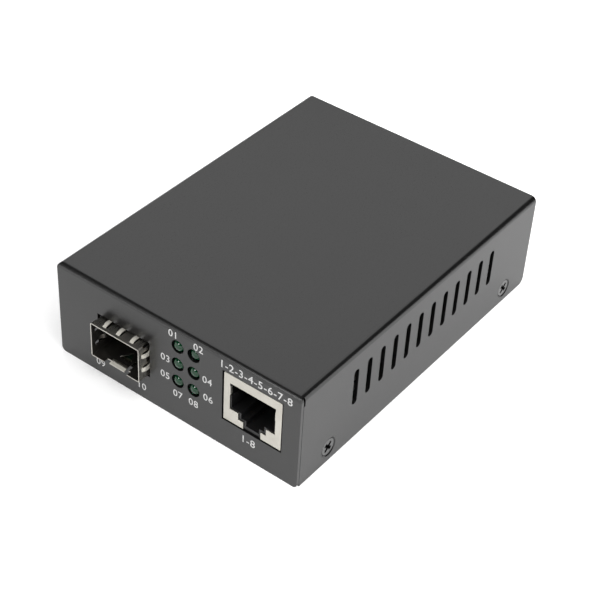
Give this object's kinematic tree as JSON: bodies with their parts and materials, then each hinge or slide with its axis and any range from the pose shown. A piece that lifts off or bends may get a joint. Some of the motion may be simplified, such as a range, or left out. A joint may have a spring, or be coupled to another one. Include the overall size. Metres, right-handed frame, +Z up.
{
  "type": "fibre media converter",
  "caption": "Small folded steel box that links a fibre transceiver slot to a copper network jack, with status lamps in front, side vents and a power jack behind.",
  "frame": {"origin": "middle of the underside of the case, between the case's own front and rear faces", "axes": "+X to the right seen from the front, +Y from the port panel to the rear panel, +Z up"},
  "size_m": [0.07, 0.097, 0.0265],
  "materials": {
    "cover_paint": "satin powder coat",
    "tray_paint": "satin powder coat",
    "black_steel": "black zinc, satin",
    "zinc_steel": "zinc plated",
    "board_laminate": "green solder mask",
    "cage_metal": "nickel plated",
    "jack_metal": "nickel plated, satin",
    "black_plastic": "moulded",
    "gold_contacts": "gold flashed",
    "tinned_metal": "tin plated",
    "lamp_lens": "tinted, clear",
    "switch_plastic": "moulded",
    "knob_plastic": "moulded",
    "winding_copper": "enamelled copper",
    "can_sleeve": "sleeved can",
    "chip_ceramic": "fired ceramic"
  },
  "bodies": {
    "case": {"base_tray": "tray_paint", "board_screws": "zinc_steel", "cage_shell": "cage_metal", "capacitor_leads": "tinned_metal", "chip_parts": "chip_ceramic", "circuit_board": "board_laminate", "converter_chip": "black_plastic", "cover_screws": "black_steel", "crystal_can": "tinned_metal", "edge_connector": "black_plastic", "edge_contacts": "gold_contacts", "fuse": "chip_ceramic", "inductor_core": "black_plastic", "inductor_winding": "winding_copper", "jack_body": "black_plastic", "jack_shell": "jack_metal", "jack_wires": "gold_contacts", "lamp_holder": "black_plastic", "lamp_leads": "tinned_metal", "magnetics_block": "black_plastic", "magnetics_leads": "tinned_metal", "power_body": "black_plastic", "power_chip": "black_plastic", "power_pin": "tinned_metal", "power_spring": "tinned_metal", "rectifier": "black_plastic", "standoffs": "zinc_steel", "status_lamps": "lamp_lens", "storage_capacitors": "can_sleeve", "switch_base": "switch_plastic", "switch_housing": "switch_plastic", "switch_pins": "tinned_metal", "top_cover": "cover_paint"},
    "left_actuator": {"switch_knob_left": "knob_plastic"},
    "middle_actuator": {"switch_knob_middle": "knob_plastic"},
    "right_actuator": {"switch_knob_right": "knob_plastic"}
  },
  "joints": [
    {"name": "left_slide", "type": "slide", "parent": "case", "child": "left_actuator", "axis": [0, 0, 1], "range_m": [0, 0.0018]},
    {"name": "middle_slide", "type": "slide", "parent": "case", "child": "middle_actuator", "axis": [0, 0, 1], "range_m": [0, 0.0018]},
    {"name": "right_slide", "type": "slide", "parent": "case", "child": "right_actuator", "axis": [0, 0, 1], "range_m": [0, 0.0018]}
  ]
}
